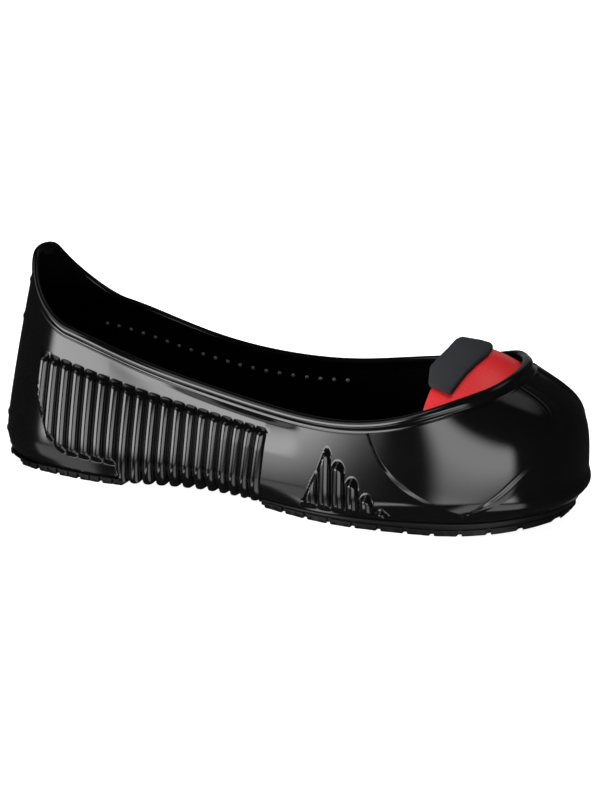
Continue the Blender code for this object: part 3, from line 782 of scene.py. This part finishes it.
def plan_loop(far, inset, under):
    """The foot of the wall as a loop, moved in: the inner side forwards, then the outer side back."""
    at = np.concatenate([round_from(-1, far), round_from(1, far[::-1])])
    return at, wall(at, foot_height(at))[:, :2] - outward(at) * (inset + under * tread_under(at))[:, None]


def spaced(start, end, step):
    return np.linspace(start, end, max(2, round((end - start) / step) + 1))


def slab(rings):
    """Points and faces of a slab through loops from its bottom to its top, paired up across the foot."""
    count = len(rings[0])
    faces = ring_faces(len(rings), count)
    top = (len(rings) - 1) * count
    for i in range(count // 2 - 1):
        across = count - 1 - i
        faces.append((i, across, across - 1, i + 1))
        faces.append((top + i, top + i + 1, top + across - 1, top + across))
    return np.concatenate(rings), faces


def slab_rings(far, levels):
    """Loops at insets, shares of the tread's own inset, and heights. A height is a function of the distance
    from the heel, the wall's foot and the toe spring."""
    rings = []
    for inset, under, height in levels:
        at, plan = plan_loop(far, inset, under)
        lift = spring(plan[:, 0])
        rings.append(np.column_stack([plan, height(from_heel(at), foot_height(at), lift)]))
    return rings


def joined(parts):
    """Points and faces of several meshes as one."""
    points, faces, start = [], [], 0
    for some, their in parts:
        points.append(np.asarray(some))
        faces += [tuple(start + k for k in face) for face in their]
        start += len(some)
    return np.concatenate(points), faces


def pad_reach(stations, side, start, end):
    """How far a pad's edge lies from the middle line at stations along the foot."""
    at = round_from(side, np.linspace(start, end, 400))
    edge = wall(at, foot_height(at))[:, :2] - outward(at) * (PAD_INSET + tread_under(at))[:, None]
    station = edge[:, 0] + LENGTH / 2
    order = np.argsort(station)
    return np.interp(stations, station[order], np.abs(edge[:, 1])[order])


def lug_outline(station_low, station_high, side, half, start, end, notched):
    """A lug at the edge of a pad: from a line along the foot out to the pad's edge."""
    middle = (station_low + station_high) / 2
    offsets = np.array([-1, -0.5, -1, 0, 1, 0.5, 1])
    spans = np.full(7, (station_high - station_low) / 2)
    spans[2:5] = NOTCH_HALF
    stations = middle + offsets * spans
    reach = pad_reach(stations, side, start, end)
    if reach.min() < half + 2:
        return None
    reach[3] -= NOTCH_DEEP * notched
    out = np.column_stack([stations - LENGTH / 2, side * reach])
    inside = np.array([[station_high, side * half], [station_low, side * half]]) - [LENGTH / 2, 0]
    return np.concatenate([out, inside])


def bar_outline(cut, side, start, end):
    """A tie bar across a groove, just inside the pad's edge."""
    stations = cut + np.array([-1, 1]) * (GROOVE / 2 + 0.3)
    reach = pad_reach(stations, side, start, end)
    if reach.min() < BAR_INSET[1] + 4:
        return None
    out = np.column_stack([stations - LENGTH / 2, side * (reach - BAR_INSET[0])])
    inside = np.column_stack([stations - LENGTH / 2, side * (reach - BAR_INSET[1])])
    return np.concatenate([out, inside[::-1]])


def block(outline, bevel, bottom, top):
    """Points and faces of a lug: a flat tread face, a small bevel and straight sides."""
    middle = outline.mean(0)
    away = outline - middle
    reach = np.linalg.norm(away, axis=1, keepdims=True)
    inner = middle + away * np.clip(1 - 1.4 * bevel / reach, 0.1, 1)
    lift = spring(outline[:, 0])
    rings = (
        np.column_stack([inner, spring(inner[:, 0]) + bottom]),
        np.column_stack([outline, lift + bottom + bevel]),
        np.column_stack([outline, lift + top]),
    )
    count = len(outline)
    ends = [tuple(range(count))[::-1], tuple(range(2 * count, 3 * count))]
    return np.concatenate(rings), ends + ring_faces(3, count)


def make_outsole(material):
    core = slab(slab_rings(
        spaced(END_MARGIN, TOE - END_MARGIN, SLAB_STEP),
        (
            (WALL + 2 * GAP, 0.5, lambda far, foot, lift: LUG - BOND + arch(far) + lift),
            (WALL + 2 * GAP, 0.0, lambda far, foot, lift: CORE_TOP + lift),
        ),
    ))
    waist = slab(slab_rings(
        spaced(HEEL_PAD_END - WAIST_LAP, FOREFOOT_PLATE_START + WAIST_LAP, SLAB_STEP),
        (
            (WAIST_INSET, 0.0, lambda far, foot, lift: LUG - BOND + arch(far) + lift),
            (WAIST_INSET, 0.0, lambda far, foot, lift: foot + WAIST_UP),
        ),
    ))
    plate = slab(slab_rings(
        spaced(FOREFOOT_PLATE_START, TOE - END_MARGIN, SLAB_STEP),
        (
            (0.5, 1.0, lambda far, foot, lift: LUG + lift),
            (0.0, 0.9, lambda far, foot, lift: LUG + 0.5 + lift),
            (0.0, 0.3, lambda far, foot, lift: foot - GAP - 0.9),
            (0.1, 0.2, lambda far, foot, lift: foot - GAP - 0.4),
            (0.5, 0.2, lambda far, foot, lift: foot - GAP),
        ),
    ))
    parts = [core, waist, plate]
    pads = ((END_MARGIN, HEEL_PAD_END, CHANNELS[0]), (FOREFOOT_PAD_START, TOE - END_MARGIN, CHANNELS[1]))
    for start, end, channel in pads:
        notched = start < HEEL_PAD_END
        inset = PAD_INSET + WEB_INSET
        web = slab(slab_rings(
            spaced(start, end, SLAB_STEP),
            (
                (inset, 1.0, lambda far, foot, lift: LUG - WEB_DEEP + lift),
                (inset, 1.0, lambda far, foot, lift: np.minimum(LUG + BOND + lift, foot - GAP)),
            ),
        ))
        parts.append(web)
        at = round_from(-1, [start, end])
        ends = wall(at, foot_height(at))[:, 0] + LENGTH / 2
        cuts = np.arange(GROOVE_FIRST, LENGTH, GROOVE_PITCH)
        cuts = cuts[(cuts > ends[0] + 2) & (cuts < ends[1] - 2)]
        starts = cuts + GROOVE / 2
        stops = np.append(cuts[1:] - GROOVE / 2, ends[1] - 0.8 - toe_under(end))
        for cut in cuts:
            for side in (-1, 1):
                bar = bar_outline(cut, side, start, end)
                if bar is not None:
                    parts.append(block(bar[::side], BAR_BEVEL, BAR_UP, LUG - LUG_SINK))
        for low, high in zip(starts, stops):
            split = channel.start < low and high < channel.end + GROOVE_PITCH
            half = channel.half + CHANNEL / 2 if split else 0.5
            for side in (-1, 1):
                outline = lug_outline(low, high, side, half, start, end, notched)
                if outline is not None:
                    parts.append(block(outline[::side], LUG_BEVEL, 0.0, LUG - LUG_SINK))
            if split:
                inner = channel.half - CHANNEL / 2
                rear, fore = max(low - GROOVE_PITCH / 2, starts[0]), high - GROOVE_PITCH / 2
                corners = [[rear, -inner], [fore, -inner], [fore, inner], [rear, inner]]
                outline = np.array(corners) - [LENGTH / 2, 0]
                parts.append(block(outline, LUG_BEVEL, 0.0, LUG - LUG_SINK))
    points, faces = joined(parts)
    return new_object("tread_sole", points, faces, material, False)


def make_insole(material):
    rings = slab_rings(
        spaced(END_MARGIN, TOE - END_MARGIN, SLAB_STEP),
        (
            (WALL + INSOLE_INSET, 0.0, lambda far, foot, lift: CORE_TOP + GAP + lift),
            (WALL + INSOLE_INSET, 0.0, lambda far, foot, lift: CORE_TOP + GAP + INSOLE_THICK - 0.7 + lift),
            (WALL + INSOLE_INSET + 0.8, 0.0, lambda far, foot, lift: CORE_TOP + GAP + INSOLE_THICK + lift),
        ),
    )
    points, faces = slab(rings)
    return new_object("foot_bed", points, faces, material, False)


def cap_point(station, across, inset):
    """Points of the toe cap at a station and a share of its half width (-1 to 1), moved in by a distance."""
    ahead = np.clip((station - CAP_REAR) / (CAP_LENGTH - inset), 0, 1)
    x = station - LENGTH / 2 + 0 * across
    foot = CORE_TOP + 2 * GAP + INSOLE_THICK + spring(x)
    half = (CAP_HALF - inset) * (1 - ahead**2) ** CAP_PLAN_POWER
    y = CAP_MIDDLE + half * across
    fall = (1 - ahead**CAP_FALL_POWER) ** (1 / CAP_FALL_POWER)
    top = CAP_TOP - inset - foot - CAP_DOME * np.abs(y - CAP_PEAK) ** CAP_DOME_POWER
    side = (1 - np.abs(across) ** CAP_SIDE_POWER) ** (1 / CAP_SIDE_POWER)
    return np.stack([x, y, foot + top * fall * side], -1)


def make_toe_cap(material):
    shares = np.sin(np.linspace(-math.pi / 2, math.pi / 2, CAP_TURNS))
    sections = []
    for ahead in np.sin(np.linspace(0, math.pi / 2, CAP_STEPS)[:-1]):
        outer = cap_point(CAP_REAR + ahead * CAP_LENGTH, shares, 0.0)
        inner = cap_point(CAP_REAR + ahead * (CAP_LENGTH - CAP_THICK), shares[::-1], CAP_THICK)
        sections.append(np.concatenate([outer, inner]))
    points, faces = loft(np.array(sections), False)
    return new_object("hard_toe_cap", points, faces, material)


def make_guard(material):
    """The guard: its rounded section hooks over the cap's rear edge and lies along the cap's face."""
    outer = GAP + GUARD_THICK
    hook = CAP_THICK + 2 * GAP
    table = np.array(GUARD)
    trim_start, trim_full = GUARD_TRIM_AT
    sections = []
    for across in np.linspace(-table[-1, 0], GUARD_OUTER_END, GUARD_STEPS):
        back = np.interp(abs(across), table[:, 0], table[:, 1])
        front = np.interp(abs(across), table[:, 0], table[:, 2])
        front -= GUARD_OUTER_TRIM * smooth((across - trim_start) / (trim_full - trim_start))
        bend = min(1.2, 0.3 * (front - back))
        behind = max(CAP_REAR - GAP, back + 0.3 * bend)
        deep = hook * np.clip((CAP_REAR - 2 * GAP - back) / 0.8, 0.02, 1)
        middle = (behind + front) / 2
        section = (
            (back + 0.2 * bend, GAP - deep), (back, GAP - 0.8 * deep), (back, outer - bend),
            (back + 0.3 * bend, outer - 0.3 * bend), (back + bend, outer), (middle, outer),
            (front - 0.7 * bend, outer), (front - 0.2 * bend, outer - 0.25 * bend),
            (front, outer - 0.75 * bend), (front, GAP + 0.3), (front - 0.25 * bend, GAP), (middle, GAP),
            (behind + 0.2 * bend, GAP), (behind, GAP - 0.1 * deep), (behind, GAP - 0.5 * deep),
            (behind, GAP - deep),
        )
        sections.append([cap_point(station, np.array(across), -off) for station, off in section])
    points, faces = loft(np.array(sections), False)
    return new_object("edge_guard", points, faces, material)


def node(tree, kind, **values):
    made = tree.nodes.new(kind)
    for key, value in values.items():
        setattr(made, key, value)
    return made


def surface(name, colour, roughness, grain, depth, spread_by=0.0, coat=0.0, shine=0.5):
    """A moulded surface: a base colour with slight variation, a roughness that varies, and a fine grain."""
    material = bpy.data.materials.new(name)
    material.use_nodes = True
    tree = material.node_tree
    shader = tree.nodes["Principled BSDF"]
    where = node(tree, "ShaderNodeTexCoord")
    broad = node(tree, "ShaderNodeTexNoise")
    broad.inputs["Scale"].default_value = 60
    broad.inputs["Detail"].default_value = 4
    fine = node(tree, "ShaderNodeTexNoise")
    fine.inputs["Scale"].default_value = grain
    fine.inputs["Detail"].default_value = 3
    shade = node(tree, "ShaderNodeMapRange")
    shade.inputs["To Min"].default_value = roughness - spread_by
    shade.inputs["To Max"].default_value = roughness + spread_by
    tint = node(tree, "ShaderNodeMix", data_type="RGBA")
    tint.inputs["A"].default_value = (*(0.85 * c for c in colour), 1)
    tint.inputs["B"].default_value = (*(1.15 * c for c in colour), 1)
    bump = node(tree, "ShaderNodeBump")
    bump.inputs["Strength"].default_value = 0.5
    bump.inputs["Distance"].default_value = depth
    link = tree.links.new
    for texture in (broad, fine):
        link(where.outputs["Object"], texture.inputs["Vector"])
    link(broad.outputs["Fac"], shade.inputs["Value"])
    link(shade.outputs["Result"], shader.inputs["Roughness"])
    link(broad.outputs["Fac"], tint.inputs["Factor"])
    link(tint.outputs["Result"], shader.inputs["Base Color"])
    link(fine.outputs["Fac"], bump.inputs["Height"])
    link(bump.outputs["Normal"], shader.inputs["Normal"])
    shader.inputs["Specular IOR Level"].default_value = shine
    shader.inputs["Coat Weight"].default_value = coat
    shader.inputs["Coat Roughness"].default_value = 0.12
    return material


def direction(azimuth, elevation):
    """The way from the object to something, by degrees round from the front and degrees up."""
    azimuth, elevation = math.radians(azimuth), math.radians(elevation)
    return Vector((
        math.sin(azimuth) * math.cos(elevation),
        -math.cos(azimuth) * math.cos(elevation),
        math.sin(elevation),
    ))


def softbox(name, azimuths, elevations, glow, fade):
    """A rectangular lamp that fills a window of directions, seen from the object, with edges that fade."""
    elevation = sum(elevations) / 2
    wide = math.radians(azimuths[1] - azimuths[0] + fade) * math.cos(math.radians(elevation))
    high = math.radians(elevations[1] - elevations[0] + fade)
    away = direction(sum(azimuths) / 2, elevation)
    data = bpy.data.lights.new(name, "AREA")
    data.shape = "RECTANGLE"
    data.size = 2 * LAMP_DISTANCE * math.tan(wide / 2)
    data.size_y = 2 * LAMP_DISTANCE * math.tan(high / 2)
    data.energy = 4 * glow * data.size * data.size_y
    data.use_nodes = True
    tree = data.node_tree
    link = tree.links.new
    place = node(tree, "ShaderNodeNewGeometry")
    split = node(tree, "ShaderNodeSeparateXYZ")
    both = node(tree, "ShaderNodeMath", operation="MULTIPLY")
    link(place.outputs["Parametric"], split.inputs["Vector"])
    for k, (axis, width) in enumerate((("X", wide), ("Y", high))):
        inwards = node(tree, "ShaderNodeMath", operation="PINGPONG")
        inwards.inputs[1].default_value = 0.5
        edge = node(tree, "ShaderNodeMapRange", interpolation_type="SMOOTHSTEP")
        edge.inputs["From Max"].default_value = math.radians(fade) / width
        link(split.outputs[axis], inwards.inputs[0])
        link(inwards.outputs[0], edge.inputs["Value"])
        link(edge.outputs["Result"], both.inputs[k])
    link(both.outputs[0], tree.nodes["Emission"].inputs["Strength"])
    lamp = bpy.data.objects.new(name, data)
    lamp.location = away * LAMP_DISTANCE
    lamp.rotation_euler = (-away).to_track_quat("-Z", "Y").to_euler()
    lamp.visible_camera = False
    bpy.context.scene.collection.objects.link(lamp)


def make_floor():
    mesh = bpy.data.meshes.new("floor")
    corners = [(FLOOR_REACH * x, FLOOR_REACH * y, 0) for x, y in ((-1, -1), (1, -1), (1, 1), (-1, 1))]
    mesh.from_pydata(corners, [], [(0, 1, 2, 3)])
    material = bpy.data.materials.new("floor")
    material.use_nodes = True
    shader = material.node_tree.nodes["Principled BSDF"]
    shader.inputs["Base Color"].default_value = (0.9, 0.9, 0.9, 1)
    shader.inputs["Roughness"].default_value = 0.9
    shader.inputs["Specular IOR Level"].default_value = 0.0
    shader.inputs["Emission Color"].default_value = (1, 1, 1, 1)
    shader.inputs["Emission Strength"].default_value = FLOOR_GLOW
    mesh.materials.append(material)
    floor = bpy.data.objects.new("floor", mesh)
    floor.visible_glossy = False
    floor.visible_shadow = False
    bpy.context.scene.collection.objects.link(floor)


def make_camera():
    data = bpy.data.cameras.new("camera")
    data.lens = CAMERA_LENS
    data.sensor_width = 36.0
    data.clip_start = 0.01
    data.clip_end = 50.0
    camera = bpy.data.objects.new("camera", data)
    back = direction(CAMERA_AZIMUTH, CAMERA_ELEVATION)
    camera.location = Vector(placed(CAMERA_AT)) + back * CAMERA_DISTANCE * MM
    camera.rotation_euler = (-back).to_track_quat("-Z", "Y").to_euler()
    bpy.context.scene.collection.objects.link(camera)
    bpy.context.scene.camera = camera


def make_light():
    world = bpy.data.worlds.new("studio")
    world.use_nodes = True
    world.node_tree.nodes["Background"].inputs["Color"].default_value = (1, 1, 1, 1)
    world.node_tree.nodes["Background"].inputs["Strength"].default_value = WORLD_GLOW
    bpy.context.scene.world = world
    for box in SOFTBOXES:
        softbox(*box)
    data = bpy.data.lights.new("overhead", "SUN")
    data.energy = OVERHEAD
    data.angle = math.radians(OVERHEAD_SPREAD)
    overhead = bpy.data.objects.new("overhead", data)
    overhead.visible_glossy = False
    bpy.context.scene.collection.objects.link(overhead)
    bpy.context.scene.view_settings.view_transform = "Standard"
    bpy.context.scene.view_settings.look = "None"


rubber = surface("moulded_rubber", (0.0022, 0.0022, 0.0024), 0.11, 1400, 0.000004, 0.02)
sole_rubber = surface("sole_rubber", (0.0030, 0.0030, 0.0032), 0.34, 1500, 0.00004, 0.06, 0.0, 0.15)
# Near black and matte: the insole's own black, and painted shade on the sheet inside the wall
insole_and_shade_black = surface("insole_black_and_painted_shade", (0.0006, 0.0006, 0.0006), 0.85, 2200, 0.0002, 0.05, 0.0, 0.1)
# Light grey: a painted glint on each pip, for the small highlights at the hollow ribs' upper ends
painted_glint_pale = surface("pale_painted_glint", (0.260, 0.260, 0.266), 0.45, 1500, 0.00002, 0.05)
red = surface("red_plastic", (0.85, 0.030, 0.034), 0.27, 1500, 0.00001, 0.04, 0.3)
charcoal = surface("charcoal_strip", (0.030, 0.031, 0.035), 0.75, 1800, 0.0001, 0.08)

pieces = (
    (make_upper(rubber), "upper", "upper"),
    (make_panel("inner_toe_panel", -1, rubber), "upper", None),
    (make_panel("outer_toe_panel", 1, rubber), "upper", None),
    (make_shade_sheet(insole_and_shade_black), "upper", None),
    (make_glint_pips(painted_glint_pale), "upper", None),
    (make_outsole(sole_rubber), "outsole", "outsole"),
    (make_insole(insole_and_shade_black), "insole", "insole"),
    (make_toe_cap(red), "toe_cap", "toe_cap"),
    (make_guard(charcoal), "toe_cap_guard", "toe_cap_guard"),
)
for piece, slot, replaced in pieces:
    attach(piece, "root")
    if replaced:
        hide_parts(replaced)

make_floor()
make_camera()
make_light()
